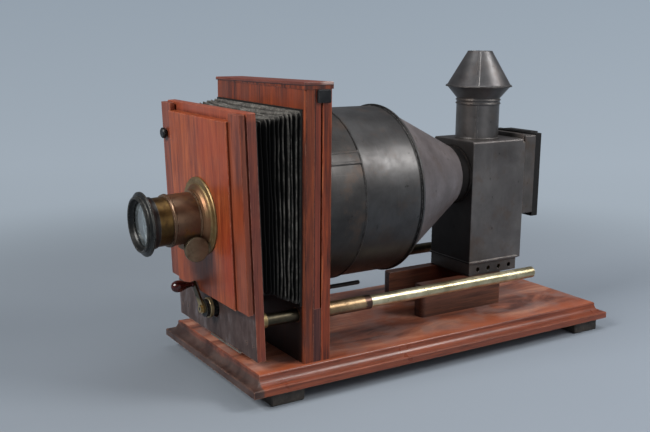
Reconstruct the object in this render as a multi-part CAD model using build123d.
from build123d import *
import os
from math import sin, cos, tan, radians, degrees, pi, sqrt, atan2

# Horizontal enlarging lantern on a moulded wooden base, in millimetres.
# +Z is up and the lens points to -Y, so -X is the left side seen from the front; the plate
# carrier draws out towards +X.  The layout uses the base's own coordinates: Y = 0 at the front
# edge of its upper face, Z = 0 on that face, X = 0 on the optical axis.  The export moves the
# origin to the middle of the footprint at floor level.

os.makedirs("parts", exist_ok=True)

# ---------------------------------------------------------------- driving dimensions
BASE_W, BASE_L, BASE_T = 239.0, 570.0, 22.9      # upper face width, length; thickness
LEDGE_OUT, LEDGE_DROP = 13.9, 13.7               # moulded ledge: how far out and down
FOOT_H, FOOT_X, FOOT_Y = 17.5, 46.0, 46.0
Y_ORIGIN = 241.27                                # layout Y that becomes Y = 0
FLOOR_Z = -(BASE_T + FOOT_H)                     # layout Z that becomes Z = 0

MID_HALF, MID_H = 233.0 / 2, 336.0               # middle standard: half width, height
CAP_Z = MID_H - 4.0                              # underside of its cap
MID_Y0, MID_Y1, MID_Y2, MID_Y3 = 62.8, 76.2, 87.2, 100.3   # front frame / slot / rear frame
SLOT_Z = 67.5                                    # foot of the carrier slot
AXIS_Z = 185.7                                   # condenser axis
DRUM_R, DRUM_Y1 = 114.0, 155.0                   # fixed drum: radius, rear end
RIM_Y = 245.5                                    # rim of the sliding drum
CONE_R, CONE_Y = 45.4, 366.0                     # small end of the cone
CONE_Z = AXIS_Z + 8.0                            # axis height at that end
CLEAR = 0.06                                     # running clearance, radial

LEAN, LEAN_Z = 2.3, 40.0                         # front standard: forward degrees, pivot height
FRONT_HALF, FRONT_T = 226.0 / 2, 11.2
FRONT_Z0, FRONT_Z1 = 13.0, 307.5
RAIL_W, RAIL_T = 29.0, 9.2
RAIL_Z0, RAIL_Z1 = 72.7, 306.0
PANEL_Z0, PANEL_Z1 = 71.4, 296.5                 # rising lens board
PANEL_FACE = -12.2                               # Y of its front face
LENS_Z = 173.0
SCREW_Z, SCREW_R = 52.5, 3.0                     # focusing screw
TUBE_X, TUBE_Z, TUBE_R = 97.2, 57.6, 7.95        # the two slide tubes
TUBE_END = 458.0
TUBE_SIDES = (-TUBE_X, TUBE_X)
SLEEVE_R = 9.3                                   # sleeves that guide the tubes

LAMP_HALF, LAMP_Y0, LAMP_Y1 = 89.3 / 2, 385.6, 481.1       # lamphouse
LAMP_Z0, LAMP_Z1 = 65.7, 245.1
SHEET = 1.2
LAMP_IN = LAMP_HALF - SHEET                      # inner half width
STAND_HALF, STAND_Y0, STAND_Y1, STAND_Z = 48.0, 298.0, 449.0, 47.7
CHIM_Y, CHIM_R = 429.2, 31.4
WINDER_X, WINDER_Z = 5.6, 104.0                  # winder spindle beside the wick

PINION_Y, PINION_Z = -32.5, LENS_Z - 34.0        # pinion axis
GEAR_M, PINION_TEETH = 0.7, 8                    # module, number of teeth
PITCH_R = GEAR_M * PINION_TEETH / 2
CRANK_X, CRANK_Z = -24.8, 78.4                   # crank pin

pieces = {}


# ---------------------------------------------------------------- helpers
def block(x0, x1, y0, y1, z0, z1):
    return Pos((x0 + x1) / 2, (y0 + y1) / 2, (z0 + z1) / 2) * Box(x1 - x0, y1 - y0, z1 - z0)


def slab(half, y0, y1, z0, z1):
    """Block centred on X = 0, reaching half to each side."""
    return block(-half, half, y0, y1, z0, z1)


def rod_x(r, x0, x1, y, z):
    return Pos((x0 + x1) / 2, y, z) * Rot(0, 90, 0) * Cylinder(r, x1 - x0)


def rod_y(r, y0, y1, x=0.0, z=0.0):
    return Pos(x, (y0 + y1) / 2, z) * Rot(90, 0, 0) * Cylinder(r, y1 - y0)


def rod_z(r, z0, z1, x, y):
    return Pos(x, y, (z0 + z1) / 2) * Cylinder(r, z1 - z0)


def turned_y(points, x=0.0, z=0.0):
    """Turned solid about a Y-parallel axis; points are (radius, y)."""
    face = make_face(Polyline(*[(r, y, 0) for r, y in points], close=True))
    return Pos(x, 0, z) * revolve(face, Axis.Y, 360)


def turned_z(points, x=0.0, y=0.0):
    """Turned solid about a Z-parallel axis; points are (radius, z)."""
    face = make_face(Polyline(*[(r, 0, z) for r, z in points], close=True))
    return Pos(x, y, 0) * revolve(face, Axis.Z, 360)


def prism_x(points, x0, x1):
    """Polygon of (y, z) points drawn out along X."""
    face = make_face(Polyline(*[(x0, y, z) for y, z in points], close=True))
    return extrude(face, amount=x1 - x0, dir=(1, 0, 0))


def prism_y(points, y0, y1):
    """Polygon of (x, z) points drawn out along Y."""
    face = make_face(Polyline(*[(x, y0, z) for x, z in points], close=True))
    return extrude(face, amount=y1 - y0, dir=(0, 1, 0))


def cone_y(y0, z0, r0, y1, z1, r1):
    """Straight-sided oblique cone between two circles square to Y."""
    ends = [Plane(origin=(0, y, z), x_dir=(1, 0, 0), z_dir=(0, 1, 0)) * Circle(r)
            for y, z, r in ((y0, z0, r0), (y1, z1, r1))]
    return loft(ends)


def lean(shape):
    """From the upright front standard to its leaning place."""
    return Pos(0, 0, LEAN_Z) * Rot(LEAN, 0, 0) * Pos(0, 0, -LEAN_Z) * shape


def bored(body, r, y0, y1, x, z):
    """Body with a hole right through along Y, from y0 to y1."""
    return body - rod_y(r, y0 - 1, y1 + 1, x, z)


def milled(body, count, r, y, length, size, x=0.0, z=0.0):
    """Body with V notches along Y cut round its rim, middle at y."""
    for i in range(count):
        notch = Pos(r, y, 0) * Rot(0, 45, 0) * Box(size, length, size)
        body -= Pos(x, 0, z) * Rot(0, 360.0 / count * i, 0) * notch
    return body


def screw_outline(r, length, head):
    """Countersunk screw outline: (radius, distance in from the head's face)."""
    return [(0, 0), (head, 0), (head, 0.5), (r, 0.5 + head - r), (r, length), (0, length)]


def screw_y(x, y, z, r, length, head, from_rear=False):
    """Slotted countersunk screw, its head flush at y, going in towards +Y or from the rear."""
    screw = turned_y(screw_outline(r, length, head))
    screw -= slab(head, -1, 0.7, -0.35, 0.35)
    if from_rear:
        screw = Rot(0, 0, 180) * screw
    return Pos(x, y, z) * screw


def screw_z(x, y, z, r, length, head):
    """Slotted countersunk screw, its head flush at z, going up."""
    screw = turned_z(screw_outline(r, length, head))
    screw -= slab(head, -0.35, 0.35, -1, 0.7)
    return Pos(x, y, z) * screw


def group(shapes):
    return Compound(children=shapes)


# ---------------------------------------------------------------- base and feet
def board_section(half):
    """Cross-section of the moulded board, half being half the width of its upper face."""
    out, drop, bottom = half + LEDGE_OUT, -LEDGE_DROP, -BASE_T
    right = [
        Line((0, 0), (half - 1.0, 0)),
        ThreePointArc((half - 1.0, 0), (half + 0.4, -0.9), (half + 0.9, -3.6)),
        ThreePointArc((half + 0.9, -3.6), (half + 4.2, drop + 3.0), (out - 1.2, drop)),
        Line((out - 1.2, drop), (out, drop - 1.0)),
        Line((out, drop - 1.0), (out, bottom)),
        Line((out, bottom), (0, bottom)),
    ]
    left = [
        Line((0, bottom), (-out, bottom)),
        Line((-out, bottom), (-out, drop - 1.0)),
        Line((-out, drop - 1.0), (-out + 1.2, drop)),
        ThreePointArc((-out + 1.2, drop), (-half - 4.2, drop + 3.0), (-half - 0.9, -3.6)),
        ThreePointArc((-half - 0.9, -3.6), (-half - 0.4, -0.9), (-half + 1.0, 0)),
        Line((-half + 1.0, 0), (0, 0)),
    ]
    return make_face(Curve() + right + left)


# the mouldings along and across the board meet in mitres
centre = (0, BASE_L / 2, 0)
along = extrude(Plane(origin=centre, x_dir=(1, 0, 0), z_dir=(0, -1, 0))
                * board_section(BASE_W / 2), amount=BASE_L, both=True)
across = extrude(Plane(origin=centre, x_dir=(0, 1, 0), z_dir=(1, 0, 0))
                 * board_section(BASE_L / 2), amount=BASE_W, both=True)
base = along & across

foot_x = BASE_W / 2 + LEDGE_OUT - 6.0 - FOOT_X / 2
front_foot_y = -LEDGE_OUT + 26.0 + FOOT_Y / 2
rear_foot_y = BASE_L + LEDGE_OUT - 13.0 - FOOT_Y / 2
foot_head_z = FLOOR_Z + 1.0                      # screw heads sunk 1 mm
FOOT_SCREW_R, FOOT_SCREW_L = 2.2, 26.0
feet, base_screws = [], []
for x in (-foot_x, foot_x):
    for y in (front_foot_y, rear_foot_y):
        foot = block(x - FOOT_X / 2, x + FOOT_X / 2, y - FOOT_Y / 2, y + FOOT_Y / 2,
                     FLOOR_Z, -BASE_T)
        foot = chamfer(foot.edges().filter_by(Axis.Z), 1.5)
        foot = chamfer(foot.faces().sort_by(Axis.Z)[0].edges(), 1.5)
        for hole_x in (x - 11, x + 11):
            screw = screw_z(hole_x, y, foot_head_z, FOOT_SCREW_R, FOOT_SCREW_L, 4.2)
            foot -= rod_z(4.3, FLOOR_Z - 1, foot_head_z, hole_x, y)
            foot -= screw
            base -= rod_z(FOOT_SCREW_R, -BASE_T - 1, foot_head_z + FOOT_SCREW_L, hole_x, y)
            base_screws.append(screw)
        feet.append(foot)
pieces["foot_blocks"] = group(feet)

# ---------------------------------------------------------------- middle standard
front_frame = slab(MID_HALF, MID_Y0, MID_Y1, 0, CAP_Z)
front_frame = chamfer(front_frame.edges().filter_by(Axis.Z).sort_by(Axis.Y)[:2], 2.2)
front_frame -= slab(94.0, MID_Y0 - 1, MID_Y1 + 1, 98.0, 288.0)
rear_frame = slab(MID_HALF, MID_Y2, MID_Y3, 0, CAP_Z)
rear_frame = chamfer(rear_frame.edges().filter_by(Axis.Z).sort_by(Axis.Y)[-2:], 1.2)
rear_frame = bored(rear_frame, 106.0, MID_Y2, MID_Y3, 0, AXIS_Z)

# between the frames: a filler below the slot and a stop down its left end
spacer_half = MID_HALF - 0.6
filler = slab(spacer_half, MID_Y1, MID_Y2, 0, SLOT_Z)
slot_stop = block(-spacer_half, -MID_HALF + 14.0, MID_Y1, MID_Y2, SLOT_Z + 0.05, CAP_Z)

# the cap's top slopes: 4 mm thick at the left, over 8 mm at the right
cap = slab(MID_HALF + 1.0, MID_Y0 - 1.2, MID_Y3 + 1.0, CAP_Z, MID_H + 8.0)
cap_cutter = Pos(0, 0, 20.0) * Box(300.0, 80.0, 40.0)
cap -= Pos(0, (MID_Y0 + MID_Y3) / 2, MID_H + 2.2) * Rot(0, -1.07, 0) * cap_cutter
pieces["cap_board"] = fillet(cap.faces().sort_by(Axis.Z)[-1].edges(), 1.2)

# sleeves that guide the slide tubes, flanged on the back of the standard
SLEEVE_END = 171.0
sleeves = []
for x in TUBE_SIDES:
    sleeve = rod_y(SLEEVE_R, MID_Y0 + 0.5, SLEEVE_END, x, TUBE_Z)
    sleeve += rod_y(14.5, MID_Y3, MID_Y3 + 1.8, x, TUBE_Z)
    front_frame = bored(front_frame, SLEEVE_R, MID_Y0, MID_Y1, x, TUBE_Z)
    filler = bored(filler, SLEEVE_R, MID_Y1, MID_Y2, x, TUBE_Z)
    slot_stop = bored(slot_stop, SLEEVE_R, MID_Y1, MID_Y2, x, TUBE_Z)
    rear_frame = bored(rear_frame, SLEEVE_R, MID_Y2, MID_Y3, x, TUBE_Z)
    sleeves.append(bored(sleeve, TUBE_R + CLEAR, MID_Y0, SLEEVE_END, x, TUBE_Z))
pieces["guide_sleeves"] = group(sleeves)

# nut for the focusing screw, let into the back of the standard
NUT_R = 8.0
nut_face = MID_Y3 + 2.5
front_frame = bored(front_frame, 5.0, MID_Y0, MID_Y1, 0, SCREW_Z)
filler = bored(filler, 5.0, MID_Y1, MID_Y2, 0, SCREW_Z)
rear_frame = bored(rear_frame, NUT_R, MID_Y2, MID_Y3, 0, SCREW_Z)
nut = slab(20, MID_Y3, nut_face, SCREW_Z - 11, SCREW_Z + 11)
nut = fillet(nut.edges().filter_by(Axis.Y), 4.0)
nut += rod_y(NUT_R, MID_Y2, MID_Y3, 0, SCREW_Z) + rod_y(7.0, nut_face, MID_Y3 + 8.0, 0, SCREW_Z)
nut -= rod_y(SCREW_R + CLEAR, MID_Y2 - 1, MID_Y3 + 10, 0, SCREW_Z)
nut_screws = []
for x in (-14.5, 14.5):
    screw = screw_y(x, nut_face, SCREW_Z, 1.6, 12.0, 2.9, from_rear=True)
    nut -= screw
    rear_frame -= screw
    nut_screws.append(screw)
pieces["screw_nut"] = nut
pieces["nut_screws"] = group(nut_screws)

# screws from below that hold the standard to the base
for x in (-95.0, -32.0, 32.0, 95.0):
    for y in ((MID_Y0 + MID_Y1) / 2, (MID_Y2 + MID_Y3) / 2):
        screw = screw_z(x, y, -BASE_T + 0.4, 2.3, 42.0, 4.4)
        base -= rod_z(4.5, -BASE_T - 1, -BASE_T + 3.4, x, y) + rod_z(2.4, -BASE_T - 1, 1.0, x, y)
        front_frame -= screw
        rear_frame -= screw
        base_screws.append(screw)
pieces["base_screws"] = group(base_screws)
pieces["base_board"] = base
pieces["middle_front_frame"] = front_frame
pieces["middle_rear_frame"] = rear_frame
pieces["slot_spacer"] = filler + slot_stop

# ---------------------------------------------------------------- bellows
rear_bellows_frame = slab(112, MID_Y0 - 2.4, MID_Y0, 72.0, 309.0)
rear_bellows_frame -= slab(98, MID_Y0 - 4, MID_Y0 + 1, 98.0, 295.0)
pieces["bellows_rear_frame"] = rear_bellows_frame


def bellows_front_y(z):
    """Y of the bellows' front at height z, 4 mm behind the leaning board."""
    return FRONT_T / cos(radians(LEAN)) - tan(radians(LEAN)) * (z - LEAN_Z) + 4.0


bellows_rear_y = MID_Y0 - 2.8
# a plain-sided body with a square passage through it; (y, z)
bellows_side = [(bellows_front_y(97.0), 97.0), (bellows_rear_y, 74.0),
                (bellows_rear_y, 308.0), (bellows_front_y(299.0), 299.0)]
bellows = prism_x(bellows_side, -111.0, 111.0)
pieces["bellows"] = bellows - slab(92, -20, MID_Y0 + 5, 103.0, 285.0)

# ---------------------------------------------------------------- negative carrier
carrier_y0, carrier_y1 = MID_Y1 + 0.2, MID_Y2 - 1.5
carrier_x1 = MID_HALF - 0.4
carrier_z0, carrier_z1 = SLOT_Z + 0.2, MID_H - 4.3
glass_y0 = carrier_y0 + 3.5
glass_y1 = carrier_y0 + 5.7
cut_y1 = carrier_y1 + 1


def pane(half_w, half_h, y0, y1):
    """Upright oblong plate centred on the condenser axis."""
    return slab(half_w, y0, y1, AXIS_Z - half_h, AXIS_Z + half_h)


carrier = block(-MID_HALF + 14.3, carrier_x1, carrier_y0, carrier_y1, carrier_z0, carrier_z1)
carrier -= pane(82.5, 59.0, carrier_y0 - 1, cut_y1)
carrier -= pane(85.0, 61.5, glass_y0, cut_y1)
# shallow rebate down the rear corner of the right-hand end
carrier -= block(carrier_x1 - 1.2, carrier_x1 + 1, carrier_y1 - 0.9, carrier_y1 + 0.5,
                 carrier_z0 - 1, carrier_z1 + 1)
pieces["negative_glass"] = pane(84.5, 61.0, glass_y0, glass_y1)
keeper = pane(85.0, 61.5, glass_y1, carrier_y0 + 8.8)
pieces["negative_keeper"] = keeper - pane(80.0, 56.5, carrier_y0 + 5, cut_y1)

pull = block(MID_HALF + 0.15, MID_HALF + 3.4, MID_Y1 + 3.0, MID_Y3 - 3.2,
             MID_H - 20.0, MID_H - 4.6)
pull = fillet(pull.edges().filter_by(Axis.X), 1.6)
pull = chamfer(pull.faces().sort_by(Axis.X)[-1].edges(), 0.7)
tang = (MID_Y1 + 3.2, MID_Y2 - 3.6, MID_H - 18.0, MID_H - 8.0)   # y0, y1, z0, z1
pull += block(carrier_x1 - 8.0, MID_HALF + 0.5, *tang)
carrier -= block(carrier_x1 - 8.0, carrier_x1 + 1, *tang)
pieces["carrier_frame"] = carrier
pieces["carrier_pull"] = pull

# ---------------------------------------------------------------- fixed drum
drum = rod_y(DRUM_R, MID_Y3, DRUM_Y1, 0, AXIS_Z)
drum += rod_y(DRUM_R + 0.9, DRUM_Y1 - 2.2, DRUM_Y1, 0, AXIS_Z)
# folded seam along the upper right: two ridges, then a lower band between them
for height, z0, z1 in ((1.0, -8.9, -5.9), (1.0, 5.9, 8.9), (0.4, -7, 7)):
    ridge = block(DRUM_R - 2, DRUM_R + height, MID_Y3, DRUM_Y1 - 2.0, z0, z1)
    drum += Pos(0, 0, AXIS_Z) * Rot(0, -32.0, 0) * ridge
drum = bored(drum, DRUM_R - 1.0, MID_Y3, DRUM_Y1, 0, AXIS_Z)
drum += (rod_y(DRUM_R, MID_Y3, MID_Y3 + 1.0, 0, AXIS_Z)
         - rod_y(109.0, MID_Y3 - 1, MID_Y3 + 3, 0, AXIS_Z))
pieces["drum_front"] = drum

# ---------------------------------------------------------------- condenser
# two plano-convex lenses with the bulges face to face, in a cell
COND_R, COND_SAG, COND_EDGE = 104.0, 33.0, 4.0
cond_ball = (COND_R ** 2 + COND_SAG ** 2) / (2 * COND_SAG)
cond_y0 = MID_Y2 + 2.5
front_tip = cond_y0 + COND_EDGE + COND_SAG
rear_tip = front_tip + 2.0
cond_y1 = rear_tip + COND_SAG + COND_EDGE
lens_1 = ((Pos(0, front_tip - cond_ball, AXIS_Z) * Sphere(cond_ball))
          & rod_y(COND_R, cond_y0, cond_y0 + 60, 0, AXIS_Z))
lens_2 = ((Pos(0, rear_tip + cond_ball, AXIS_Z) * Sphere(cond_ball))
          & rod_y(COND_R, cond_y1 - 60, cond_y1, 0, AXIS_Z))
pieces["condenser_lenses"] = group([lens_1, lens_2])
cell_end = cond_y1 + 5.0
cell = rod_y(105.6, MID_Y2 + 0.3, cell_end, 0, AXIS_Z) + rod_y(108.6, MID_Y3, cell_end, 0, AXIS_Z)
cell -= (rod_y(COND_R, cond_y0, cond_y1 + 6.0, 0, AXIS_Z)
         + rod_y(COND_R - 3.5, MID_Y2, cond_y1, 0, AXIS_Z))
pieces["condenser_cell"] = cell
lens_spacer = rod_y(COND_R, cond_y0 + COND_EDGE + 0.4, cond_y1 - COND_EDGE - 0.4, 0, AXIS_Z)
lens_spacer -= rod_y(COND_R - 1.0, cond_y0, cond_y1, 0, AXIS_Z)
lens_spacer -= lens_1 + lens_2
lens_ring = bored(rod_y(COND_R, cond_y1, cond_y1 + 4.0, 0, AXIS_Z),
                  COND_R - 4.0, cond_y1, cond_y1 + 4.0, 0, AXIS_Z)
pieces["condenser_rings"] = group([lens_spacer, lens_ring])

# ---------------------------------------------------------------- sliding drum and cone
SLIDE_R = DRUM_R - 1.0 - CLEAR
SLIDE_Y0 = 128.0
# rolled rim: (radius beyond the drum, y from its end)
RIM = [(-2, -4.2), (0.9, -4.2), (2.1, -3.4), (2.5, -2.1), (2.1, -0.8), (1.0, 0), (-2, 0)]
slide = rod_y(SLIDE_R, SLIDE_Y0, RIM_Y, 0, AXIS_Z)
slide += turned_y([(SLIDE_R + r, RIM_Y + y) for r, y in RIM], 0, AXIS_Z)
pieces["drum_rear"] = bored(slide, SLIDE_R - 0.9, SLIDE_Y0, RIM_Y, 0, AXIS_Z)

cone_outer = cone_y(RIM_Y - 1.6, AXIS_Z, SLIDE_R - 0.9, CONE_Y, CONE_Z, CONE_R)
cone_inner = cone_y(RIM_Y - 1.7, AXIS_Z, SLIDE_R - 1.9, CONE_Y + 0.1, CONE_Z, CONE_R - 1.0)
cone = cone_outer - cone_inner
# collar joining the cone to the lamphouse, kept to the cone's hollow and the space behind it
COLLAR_R = 41.5
collar = (rod_y(COLLAR_R, CONE_Y - 6, LAMP_Y0 + 4.0, 0, CONE_Z)
          + rod_y(43.4, LAMP_Y0 - 3.5, LAMP_Y0, 0, CONE_Z))
collar -= rod_y(COLLAR_R - 1.0, CONE_Y - 7, LAMP_Y0 + 5, 0, CONE_Z)
collar_space = rod_y(200, CONE_Y, LAMP_Y0 + 10, 0, CONE_Z) + cone_inner
pieces["cone"] = cone + (collar & collar_space)

# ---------------------------------------------------------------- lamphouse
shell = slab(LAMP_HALF, LAMP_Y0, LAMP_Y1, LAMP_Z0, LAMP_Z1)
shell = fillet(shell.edges().filter_by(Axis.Y).sort_by(Axis.Z)[-2:], 3.5)
shell = fillet(shell.edges().filter_by(Axis.Z).sort_by(Axis.Y)[:2], 1.6)
hollow = slab(LAMP_IN, LAMP_Y0 + SHEET, LAMP_Y1 + 1, LAMP_Z0 - 1, LAMP_Z1 - SHEET)
shell -= fillet(hollow.edges().filter_by(Axis.Y).sort_by(Axis.Z)[-2:], 2.6)
# lip round the foot
lip = slab(LAMP_HALF + 1.5, LAMP_Y0 - 1.5, LAMP_Y1 - 1.4, LAMP_Z0, LAMP_Z0 + 3.0)
lip = fillet(lip.edges().filter_by(Axis.X).group_by(Axis.Y)[0], 1.2)
lip -= slab(LAMP_IN, LAMP_Y0 + SHEET, LAMP_Y1 + 1, LAMP_Z0 - 1, LAMP_Z0 + 5)
shell += lip
shell -= rod_y(COLLAR_R, LAMP_Y0 - 2, LAMP_Y0 + 5, 0, CONE_Z)
# upturned collar on the roof for the chimney
outlet_r = CHIM_R - 2.2
shell -= rod_z(outlet_r, LAMP_Z1 - 5, LAMP_Z1 + 5, 0, CHIM_Y)
shell += (rod_z(CHIM_R - 1.1, LAMP_Z1 - SHEET, LAMP_Z1 + 9, 0, CHIM_Y)
          - rod_z(outlet_r, LAMP_Z1 - 5, LAMP_Z1 + 10, 0, CHIM_Y))
# upright channels that the rear door slides in: (inner x, y from the shell's end)
channel = None
for x0, y0, y1 in ((LAMP_IN - 5.0, 0, 1.0), (LAMP_IN, 0, 4.4), (LAMP_IN - 3.0, 3.4, 4.4)):
    wall = block(x0, LAMP_HALF, LAMP_Y1 + y0, LAMP_Y1 + y1, LAMP_Z0, LAMP_Z1 - 5)
    channel = wall if channel is None else channel + wall
shell += mirror(channel, Plane.YZ)
shell += channel
pieces["lamphouse_shell"] = shell

# perforated plinth under the lamphouse
HOLE_R, hole_z = 3.25, STAND_Z + 8.2
plinth = slab(43.8, LAMP_Y0 + 0.9, 478.0, STAND_Z, LAMP_Z0)
plinth -= slab(43.8 - SHEET, LAMP_Y0 + 2.1, 478.0 - SHEET, STAND_Z + 1.2, LAMP_Z0 + 1)
for i in range(4):
    plinth -= rod_x(HOLE_R, -60, 60, 403.4 + 20.4 * i, hole_z)
for i in range(3):
    plinth -= rod_y(HOLE_R, 470, 490, -22.0 + 22.0 * i, hole_z)
pieces["lamphouse_plinth"] = plinth

# stand block with a round-ended draught opening cut in from the front
DRAUGHT_R, DRAUGHT_Y = 31.0, 388.0
stand = slab(STAND_HALF, STAND_Y0, STAND_Y1, 0.05, STAND_Z)
stand = fillet(stand.edges().filter_by(Axis.Z), 8.0)
stand -= (slab(DRAUGHT_R, STAND_Y0 - 5, DRAUGHT_Y, -1, STAND_Z + 1)
          + rod_z(DRAUGHT_R, -1, STAND_Z + 1, 0, DRAUGHT_Y))
pieces["stand_block"] = chamfer(stand.faces().sort_by(Axis.Z)[-1].edges(), 0.8)

# ---------------------------------------------------------------- chimney
SEAM_TURN = Pos(0, CHIM_Y, 0) * Rot(0, 0, -43.0)
pipe_outline = [(CHIM_R - 1.0, LAMP_Z1), (CHIM_R, LAMP_Z1), (CHIM_R + 1.6, LAMP_Z1 + 0.05),
                (CHIM_R + 1.6, LAMP_Z1 + 1.0), (CHIM_R, LAMP_Z1 + 1.6)]
for bead_z in (296.0, 301.2):
    pipe_outline += [(CHIM_R, bead_z - 1.5), (CHIM_R + 1.3, bead_z - 0.6),
                     (CHIM_R + 1.3, bead_z + 0.6), (CHIM_R, bead_z + 1.5)]
pipe_outline += [(CHIM_R, 303.6), (45.6, 320.4), (48.2, 320.4), (48.2, 321.4), (45.2, 321.4),
                 (CHIM_R - 1.0, 304.2)]
pipe = turned_z(pipe_outline, 0, CHIM_Y)
pipe += SEAM_TURN * block(CHIM_R - 0.9, CHIM_R + 0.7, -1.6, 1.6, LAMP_Z1 + 1.6, 294.4)
pieces["chimney_pipe"] = pipe

# conical cowl with a seam down its slope
foot_r, foot_z, top_r, top_z = 46.0, 322.7, 18.3, 370.0
cowl = turned_z([(44.6, 321.5), (47.6, 321.5), (47.6, 322.6), (foot_r, foot_z), (top_r, top_z),
                 (17.6, 371.4), (16.4, 371.4), (17.2, 369.6), (44.4, 322.6)], 0, CHIM_Y)
slope = degrees(atan2(top_z - foot_z, foot_r - top_r))
cowl_seam = slab(27.0, -1.5, 1.5, -0.9, 0.7)
cowl_seam = Pos((foot_r + top_r) / 2, 0, (foot_z + top_z) / 2) * Rot(0, slope, 0) * cowl_seam
pieces["chimney_cowl"] = cowl + SEAM_TURN * cowl_seam

# ---------------------------------------------------------------- rear door
DOOR_HALF = LAMP_IN - 0.35
door_back = LAMP_Y1 + 3.1
door = slab(DOOR_HALF, LAMP_Y1 + 1.3, door_back, LAMP_Z0 + 0.6, 250.8)
# rolled foot edge, cut away at both ends to clear the channels
door += (rod_x(1.5, -DOOR_HALF, DOOR_HALF, LAMP_Y1 + 6.0, LAMP_Z0 + 3.0)
         + slab(DOOR_HALF, LAMP_Y1 + 2.0, LAMP_Y1 + 6.0, LAMP_Z0 + 2.2, LAMP_Z0 + 3.8))
door_end = (door_back, LAMP_Y1 + 9, LAMP_Z0, LAMP_Z0 + 6)
door -= (block(-DOOR_HALF - 1, -DOOR_HALF + 5, *door_end)
         + block(DOOR_HALF - 5, DOOR_HALF + 1, *door_end))
door -= slab(30, LAMP_Y1, LAMP_Y1 + 3.2, 142.0, 236.0)
# open-ended slot, so that the door lifts clear of the wick winder
door -= (rod_y(3.0, LAMP_Y1, LAMP_Y1 + 10, WINDER_X, WINDER_Z)
         + block(WINDER_X - 3.0, WINDER_X + 3.0, LAMP_Y1, LAMP_Y1 + 10, LAMP_Z0 - 1, WINDER_Z))
pieces["rear_door"] = door

# shallow box on the door
BOX_Z0, BOX_Z1, BOX_Y1 = 131.7, 248.8, 506.0
door_box = slab(LAMP_HALF, LAMP_Y1 + 4.6, BOX_Y1, BOX_Z0, BOX_Z1)
door_box = fillet(door_box.edges().filter_by(Axis.Y), 1.6)
door_box += slab(DOOR_HALF - 5, door_back, LAMP_Y1 + 6, BOX_Z0 + 2, BOX_Z1 - 2)
door_box -= slab(LAMP_HALF - 9, LAMP_Y1 + 3.0, LAMP_Y1 + 7, BOX_Z0 + 9, BOX_Z1 - 9)
door_box -= slab(LAMP_IN, LAMP_Y1 + 5.8, BOX_Y1 + 1, BOX_Z0 + SHEET, BOX_Z1 - SHEET)
pieces["door_box"] = door_box

# frame on the back of the box, with an upright slide-way open at the top
back_frame = slab(LAMP_HALF - 0.2, BOX_Y1, 517.5, 126.0, 251.2)
back_frame = fillet(back_frame.edges().filter_by(Axis.Y), 1.0)
back_frame -= slab(31, BOX_Y1 - 1, 520, 141.0, 237.0)
back_frame -= slab(36, 510.0, 513.6, 131.0, 260.0)
back_frame -= slab(33.5, 512.0, 520.0, 235.0, 260.0)
pieces["door_back_frame"] = back_frame
shutter = slab(35.7, 510.5, 513.1, 131.6, 250.0) + slab(29, 510.5, 526.0, 247.4, 252.2)
pieces["sight_shutter"] = fillet(shutter.edges().filter_by(Axis.Z).sort_by(Axis.Y)[-2:], 1.2)

# ---------------------------------------------------------------- oil lamp
FONT_Y0, FONT_Y1 = 394.0, 470.0
font = slab(34, FONT_Y0, FONT_Y1, STAND_Z + 1.3, 92.0)
font = fillet(font.edges().filter_by(Axis.Z), 7.0)
font += turned_z([(0, 91.0), (17, 91.0), (17, 96.0), (0, 96.0)], 0, CHIM_Y)
font -= slab(34 - SHEET, FONT_Y0 + SHEET, FONT_Y1 - SHEET, STAND_Z + 2.5, 90.8)
pieces["lamp_font"] = font - rod_z(9.0, 85, 100, 0, CHIM_Y)

# burner shell: (radius, z)
BURNER = [(9.5, 96.0), (19.0, 96.0), (20.5, 99.0), (20.5, 112.0), (25.0, 124.0),
          (25.0, 140.0), (17.0, 160.0), (15.8, 160.0), (23.6, 139.6), (23.6, 124.6),
          (19.3, 113.0), (19.3, 98.0), (9.5, 98.0)]
burner = turned_z(BURNER, 0, CHIM_Y) - rod_y(2.2, CHIM_Y, 500, WINDER_X, WINDER_Z)
wick_tube = slab(2.4, CHIM_Y - 9.0, CHIM_Y + 9.0, 98.0, 168.0)
wick_tube = fillet(wick_tube.edges().filter_by(Axis.Z), 1.5)
wick_tube += turned_z([(0.0, 98.0), (19.3, 98.0), (19.3, 99.2), (0.0, 99.2)], 0, CHIM_Y)
wick_tube -= slab(1.3, CHIM_Y - 7.6, CHIM_Y + 7.6, 90.0, 170.0)
# window for the winder's star wheel, and a notch for its spindle
wick_tube -= block(0.0, 4.0, CHIM_Y - 3.4, CHIM_Y + 3.4, 99.2, 108.8)
wick_tube -= rod_y(1.9, CHIM_Y + 2.0, CHIM_Y + 20.0, WINDER_X, WINDER_Z)
pieces["lamp_burner"] = group([burner, wick_tube])
pieces["lamp_wick"] = slab(1.1, CHIM_Y - 7.4, CHIM_Y + 7.4, 60.0, 171.0)

WINDER_KNOB_Y = 493.0
winder = rod_y(1.6, CHIM_Y - 3.0, WINDER_KNOB_Y, WINDER_X, WINDER_Z)
star = rod_y(3.4, CHIM_Y - 2.4, CHIM_Y + 2.4, 0, 0)
star_tooth = [(3.0, -0.8), (4.35, -0.2), (4.35, 0.2), (3.0, 0.8)]
for i in range(10):
    star += Rot(0, 36.0 * i, 0) * prism_y(star_tooth, CHIM_Y - 2.4, CHIM_Y + 2.4)
winder += Pos(WINDER_X, 0, WINDER_Z) * star
winder += rod_y(6.5, WINDER_KNOB_Y, WINDER_KNOB_Y + 3.5, WINDER_X, WINDER_Z)
pieces["wick_winder"] = milled(winder, 24, 6.6, 494.7, 5, 0.8, WINDER_X, WINDER_Z)

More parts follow.
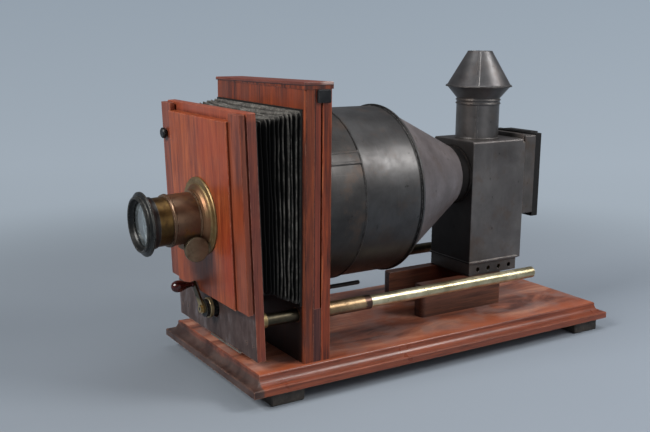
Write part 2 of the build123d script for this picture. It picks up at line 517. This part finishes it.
# dished reflector on a flat stem
REFL_BALL, REFL_Z = 70.0, 186.0
refl_centre = Pos(0, 470.0 - REFL_BALL, REFL_Z)
reflector = (refl_centre * Sphere(REFL_BALL)) - (refl_centre * Sphere(REFL_BALL - 1.0))
reflector = reflector & rod_y(34.0, 455.0, 471.0, 0, REFL_Z)
reflector += slab(4, 466.9, 468.6, 92.0, 154.0)
reflector -= slab(5, 400, 466.9, 90.0, 151.0) + rod_y(2.4, 460, 475, WINDER_X, WINDER_Z)
pieces["reflector"] = reflector

# ---------------------------------------------------------------- front standard, laid out upright
board = slab(FRONT_HALF, 0, FRONT_T, FRONT_Z0, FRONT_Z1)
opening = slab(55, -1, FRONT_T + 1, 118.0, 270.0)
board -= fillet(opening.edges().filter_by(Axis.Y), 12.0)
board = chamfer(board.faces().sort_by(Axis.Z)[-1].edges(), 0.8)
pieces["bellows_front_frame"] = lean(slab(109, FRONT_T, FRONT_T + 3.0, 95.0, 300.5)
                                     - slab(94, FRONT_T - 1, FRONT_T + 4, 110.0, 285.0))

# rails, rebated behind for the lens board's tongues
rail = block(FRONT_HALF - RAIL_W, FRONT_HALF, -RAIL_T, -3.1, RAIL_Z0, RAIL_Z1)
rail += block(FRONT_HALF - 15.0, FRONT_HALF - 3.0, -RAIL_T, 0, RAIL_Z0, RAIL_Z1)
rail = chamfer(rail.faces().sort_by(Axis.Y)[0].edges().filter_by(Axis.Z), 0.7)

# clamping screw for the lens board, through the left rail: (radius, y from the rail's face)
CLAMP_X, CLAMP_Z = -FRONT_HALF + 11.0, 266.0
CLAMP = [(0, -6.6), (5.6, -6.6), (7.0, -5.4), (7.0, -2.2), (5.6, -1.2), (3.4, -1.0),
         (3.4, -0.1), (2.0, -0.1), (2.0, RAIL_T - 0.6), (0, RAIL_T - 0.6)]
clamp = turned_y([(r, y - RAIL_T) for r, y in CLAMP])
clamp = milled(clamp, 20, 7.1, -RAIL_T - 3.9, 4.6, 0.8)
pieces["clamp_screw"] = lean(Pos(CLAMP_X, 0, CLAMP_Z) * clamp)
left_rail = mirror(rail, Plane.YZ) - rod_y(2.0 + CLEAR, -RAIL_T - 1, 1.0, CLAMP_X, CLAMP_Z)
pieces["front_rails"] = group([lean(left_rail), lean(rail)])

# rising lens board with a tongue down each side
panel_half = FRONT_HALF - RAIL_W - 0.3
panel = slab(panel_half, PANEL_FACE, -0.25, PANEL_Z0, PANEL_Z1)
panel = chamfer(panel.faces().sort_by(Axis.Y)[0].edges(), 0.9)
panel += slab(panel_half + 12.6, -2.95, -0.25, PANEL_Z0, PANEL_Z1)
panel = panel - rod_y(33.4, PANEL_FACE - 1, 1, 0, LENS_Z)

# lens flange: (radius, y from the panel's face)
JACKET_R, BARREL_R = 31.6, 30.0
JACKET_BORE = 30.06
PANEL_BACK = -PANEL_FACE - 0.25
FLANGE = [(32.0, 0), (48.8, 0), (48.8, -1.6), (47.8, -2.6), (41.0, -3.0), (40.0, -4.4),
          (37.0, -6.0), (34.6, -8.6), (33.6, -11.2), (JACKET_R, -11.2),
          (JACKET_R, PANEL_BACK), (33.4, PANEL_BACK), (33.4, 0)]
flange = turned_y([(r, PANEL_FACE + y) for r, y in FLANGE], 0, LENS_Z)
flange -= slab(2.9, -60.0, 1.0, LENS_Z - 32.6, LENS_Z - 28.0)
flange_screws = []
for i in range(3):
    angle = radians(90 + 120 * i)
    screw = screw_y(44.4 * cos(angle), PANEL_FACE - 2.72, LENS_Z + 44.4 * sin(angle),
                    1.4, 11.0, 2.6)
    flange -= screw
    panel -= screw
    flange_screws.append(screw)
pieces["lens_board"] = lean(panel)
pieces["lens_flange"] = lean(flange)
pieces["flange_screws"] = lean(group(flange_screws))

# ---------------------------------------------------------------- lens
# beaded jacket: (radius, y)
JACKET = [(JACKET_BORE, 0), (JACKET_R, 0), (JACKET_R, PANEL_FACE - 11.2),
          (33.2, PANEL_FACE - 11.4), (33.4, PANEL_FACE - 12.3), (33.2, PANEL_FACE - 13.2),
          (JACKET_R, PANEL_FACE - 13.4), (JACKET_R, -54.6), (32.0, -54.8), (32.9, -56.0),
          (32.9, -57.4), (32.2, -58.4), (32.2, -59.6), (JACKET_BORE, -60.0)]
jacket = turned_y(JACKET, 0, LENS_Z)
# pinion box underneath, then the slot for the rack and the pinion's pocket and bearings
pinion_box = slab(9.0, PINION_Y - 8.0, PINION_Y + 7.0, PINION_Z - 5.5, LENS_Z - 29.0)
pinion_box = fillet(pinion_box.edges().filter_by(Axis.X).group_by(Axis.Z)[0], 3.0)
jacket += pinion_box - rod_y(JACKET_R, -80, 10, 0, LENS_Z)
jacket -= (slab(2.9, -57.0, 1.0, LENS_Z - 31.9, LENS_Z - 28.0)
           - rod_y(JACKET_BORE, -80, 10, 0, LENS_Z))
jacket -= (rod_x(3.9, -2.9, 2.9, PINION_Y, PINION_Z)
           + slab(2.9, PINION_Y - 3.9, PINION_Y + 3.9, PINION_Z, LENS_Z - 29.5))
pieces["lens_jacket"] = lean(jacket - rod_x(1.6 + CLEAR, -20, 20, PINION_Y, PINION_Z))

# sliding barrel with its rack
BARREL_Y0, BARREL_Y1 = -82.0, 26.0
BARREL_IN = BARREL_R - 1.6
TOOTH_HALF = 2.3                                 # half width of rack and pinion
barrel_bore = rod_y(BARREL_IN, BARREL_Y0 - 1, BARREL_Y1 + 1, 0, LENS_Z)
barrel = rod_y(BARREL_R, BARREL_Y0, BARREL_Y1, 0, LENS_Z) - barrel_bore
barrel += rod_y(BARREL_R - 1.0, 8.0, 10.0, 0, LENS_Z) - rod_y(26.0, 7.0, 11.0, 0, LENS_Z)
tooth_pitch = pi * GEAR_M
rack_z = PINION_Z + PITCH_R                      # pitch line
barrel += slab(TOOTH_HALF, -43.0, -14.0, rack_z + 0.55, LENS_Z - 28.6) - barrel_bore
for i in range(-5, 8):
    y = PINION_Y + (i + 0.5) * tooth_pitch
    barrel += prism_x([(y - 0.62, rack_z + 0.6), (y - 0.30, rack_z - 0.42),
                       (y + 0.30, rack_z - 0.42), (y + 0.62, rack_z + 0.6)],
                      -TOOTH_HALF, TOOTH_HALF)
pieces["lens_barrel"] = lean(barrel)

# pinion on its shaft; the knob is at the right-hand end
PINION_TOOTH = [(-0.50, 1.9), (-0.26, 3.18), (0.26, 3.18), (0.50, 1.9)]   # (y, z)
pinion = rod_x(PITCH_R - 0.62, -TOOTH_HALF, TOOTH_HALF, 0, 0)
for i in range(PINION_TEETH):
    pinion += (Rot(360.0 / PINION_TEETH * i, 0, 0)
               * prism_x(PINION_TOOTH, -TOOTH_HALF, TOOTH_HALF))
pinion += rod_x(1.6, -12.5, 27.0, 0, 0)
pinion += rod_x(3.2, -12.5, -9.3, 0, 0)
pieces["focus_pinion"] = lean(Pos(0, PINION_Y, PINION_Z) * pinion)
knob = rod_x(15.5, 27.0, 31.0, 0, 0) + rod_x(15.0, 26.4, 27.0, 0, 0) + rod_x(5.0, 22.0, 27.0, 0, 0)
knob = fillet(knob.edges().filter_by(GeomType.CIRCLE).group_by(Axis.X)[-1], 0.9)
knob -= rod_x(1.6, 20, 27.0, 0, 0)
for i in range(48):
    knob -= Rot(7.5 * i, 0, 0) * (Pos(28.6, 0, 15.75) * Rot(45, 0, 0) * Box(3.0, 0.9, 0.9))
pieces["focus_knob"] = lean(Pos(0, PINION_Y, PINION_Z) * knob)

# hood: (radius, y)
FRONT_GLASS_R = 28.2
HOOD = [(BARREL_R, -76.5), (31.6, -76.5), (31.9, -80.0), (32.6, -83.0), (37.6, -85.6),
        (39.3, -86.6), (39.3, -88.6), (38.3, -89.4), (35.6, -90.2), (34.4, -91.2),
        (34.7, -92.6), (34.0, -94.2), (32.4, -94.8), (31.2, -94.2), (29.4, -90.0),
        (FRONT_GLASS_R, -88.4), (FRONT_GLASS_R, BARREL_Y0), (BARREL_R, BARREL_Y0)]
pieces["lens_hood"] = lean(turned_y(HOOD, 0, LENS_Z))

# glasses and the rings that hold them
FRONT_BALL, REAR_BALL = 110.0, 70.0
front_tip = -86.5 - (FRONT_BALL - sqrt(FRONT_BALL ** 2 - FRONT_GLASS_R ** 2))
pieces["front_lens"] = lean(
    rod_y(FRONT_GLASS_R, front_tip - 4.0, BARREL_Y0, 0, LENS_Z)
    & (Pos(0, front_tip + FRONT_BALL, LENS_Z) * Sphere(FRONT_BALL)))
pieces["rear_lens"] = lean((Pos(0, 21.0 - REAR_BALL, LENS_Z) * Sphere(REAR_BALL))
                           & rod_y(BARREL_IN, 10.0, 26.0, 0, LENS_Z))
front_ring = turned_y([(26.2, BARREL_Y0), (BARREL_IN, BARREL_Y0), (BARREL_IN, -78.6),
                       (26.2, -78.6)], 0, LENS_Z)
rear_ring = rod_y(BARREL_IN, 16.0, 19.5, 0, LENS_Z) - rod_y(26.4, 15.0, 25.0, 0, LENS_Z)
pieces["lens_rings"] = lean(group([front_ring, rear_ring]))

# ---------------------------------------------------------------- front board fittings
front_screws = []
for x, z in ((-105.0, 66.0), (-105.0, 30.0), (105.0, 30.0), (86.0, 30.0), (-86.0, 30.0)):
    screw = screw_y(x, 0.0, z, 1.5, 9.0, 2.7)
    board -= screw
    front_screws.append(lean(screw))
strip_z = FRONT_Z0 - 1.6
strip = block(-15.0, 70.0, -1.6, 9.5, strip_z, FRONT_Z0)
strip = fillet(strip.edges().filter_by(Axis.Z), 2.0)
for x in (-9.0, 64.0):
    strip -= rod_z(1.6, FRONT_Z0 - 3, FRONT_Z0 + 1, x, 4.0)
    screw = (rod_z(1.6, strip_z, FRONT_Z0 + 8.0, x, 4.0)
             + rod_z(3.0, strip_z - 1.0, strip_z, x, 4.0))
    board -= rod_z(1.6, FRONT_Z0 - 1, FRONT_Z0 + 8.0, x, 4.0)
    front_screws.append(lean(screw))
pieces["front_screws"] = group(front_screws)
pieces["bottom_strip"] = lean(strip)

# the slide tubes stay level and end in blind holes in the leaning board
board = lean(board)
collars, tubes = [], []
for x in TUBE_SIDES:
    collar = lean(rod_y(12.5, FRONT_T, FRONT_T + 2.0, x, TUBE_Z)
                  + rod_y(9.6, FRONT_T, FRONT_T + 8.5, x, TUBE_Z))
    tube = rod_y(TUBE_R, 4.0, TUBE_END, x, TUBE_Z)
    board -= tube
    collars.append(collar - rod_y(TUBE_R, 0.0, 40.0, x, TUBE_Z))
    tubes.append(tube - rod_y(TUBE_R - 1.3, 16.0, TUBE_END + 1, x, TUBE_Z))
pieces["tube_collars"] = group(collars)
pieces["slide_tubes"] = group(tubes)
# recess and hole for the focusing screw
board -= (rod_y(14.0, -20.0, 5.5, 0, SCREW_Z)
          + rod_y(SCREW_R + CLEAR, -20.0, 40.0, 0, SCREW_Z))
pieces["front_board"] = board

# ---------------------------------------------------------------- focusing screw and crank, level
NECK_R = 2.4                                     # reduced front end of the screw
focus_screw = rod_y(SCREW_R, -19.0, 222.0, 0, SCREW_Z) + rod_y(NECK_R, -21.6, -19.0, 0, SCREW_Z)
rear_edge = focus_screw.edges().filter_by(GeomType.CIRCLE).group_by(Axis.Y)[-1]
pieces["focusing_screw"] = chamfer(rear_edge, 0.8)

# from the back: milled nut, plain washer, milled nut
bore = rod_y(SCREW_R, -30, 30, 0, SCREW_Z)
rear_nut = milled(rod_y(11.0, -6.6, 4.6, 0, SCREW_Z), 36, 11.25, -1.0, 12.0, 1.0, z=SCREW_Z)
front_nut = milled(rod_y(11.4, -15.6, -11.2, 0, SCREW_Z), 36, 11.65, -13.4, 7.0, 1.0, z=SCREW_Z)
pieces["milled_nuts"] = group([rear_nut - bore, front_nut - bore])
washer = rod_y(13.0, -11.2, -6.6, 0, SCREW_Z)
pieces["brass_washer"] = fillet(washer.edges().filter_by(GeomType.CIRCLE), 0.6) - bore

# tapered arm from the screw to the crank pin
crank_angle = degrees(atan2(CRANK_Z - SCREW_Z, CRANK_X))
crank_length = sqrt(CRANK_X ** 2 + (CRANK_Z - SCREW_Z) ** 2)
arm = prism_y([(-1.0, -5.4), (crank_length, -3.8), (crank_length, 3.8), (-1.0, 5.4)],
              -18.8, -15.7)
arm = Pos(0, 0, SCREW_Z) * (Rot(0, -crank_angle, 0) * arm)
arm += rod_y(6.4, -19.0, -15.6, 0, SCREW_Z) + rod_y(4.4, -18.8, -15.7, CRANK_X, CRANK_Z)
arm -= bore
arm += rod_y(4.8, -21.6, -19.0, 0, SCREW_Z) - rod_y(NECK_R, -30, 0, 0, SCREW_Z)
arm += rod_y(1.5, -40.0, -18.0, CRANK_X, CRANK_Z)
pieces["crank_arm"] = arm

# handle: (radius, y)
HANDLE = [(0, -48.6), (2.4, -48.2), (4.8, -46.9), (6.5, -44.8), (7.5, -42.0), (7.7, -39.2),
          (7.3, -36.4), (6.4, -33.4), (5.2, -30.2), (4.0, -26.8), (3.3, -23.6),
          (3.1, -21.4), (3.6, -20.6), (3.6, -19.1), (0, -19.1)]
handle = turned_y(HANDLE, CRANK_X, CRANK_Z)
pieces["crank_handle"] = handle - rod_y(1.5 + CLEAR, -40.4, -10.0, CRANK_X, CRANK_Z)

# ---------------------------------------------------------------- write
for name, shape in pieces.items():
    export_step(Pos(0, -Y_ORIGIN, -FLOOR_Z) * shape, "parts/" + name + ".step")
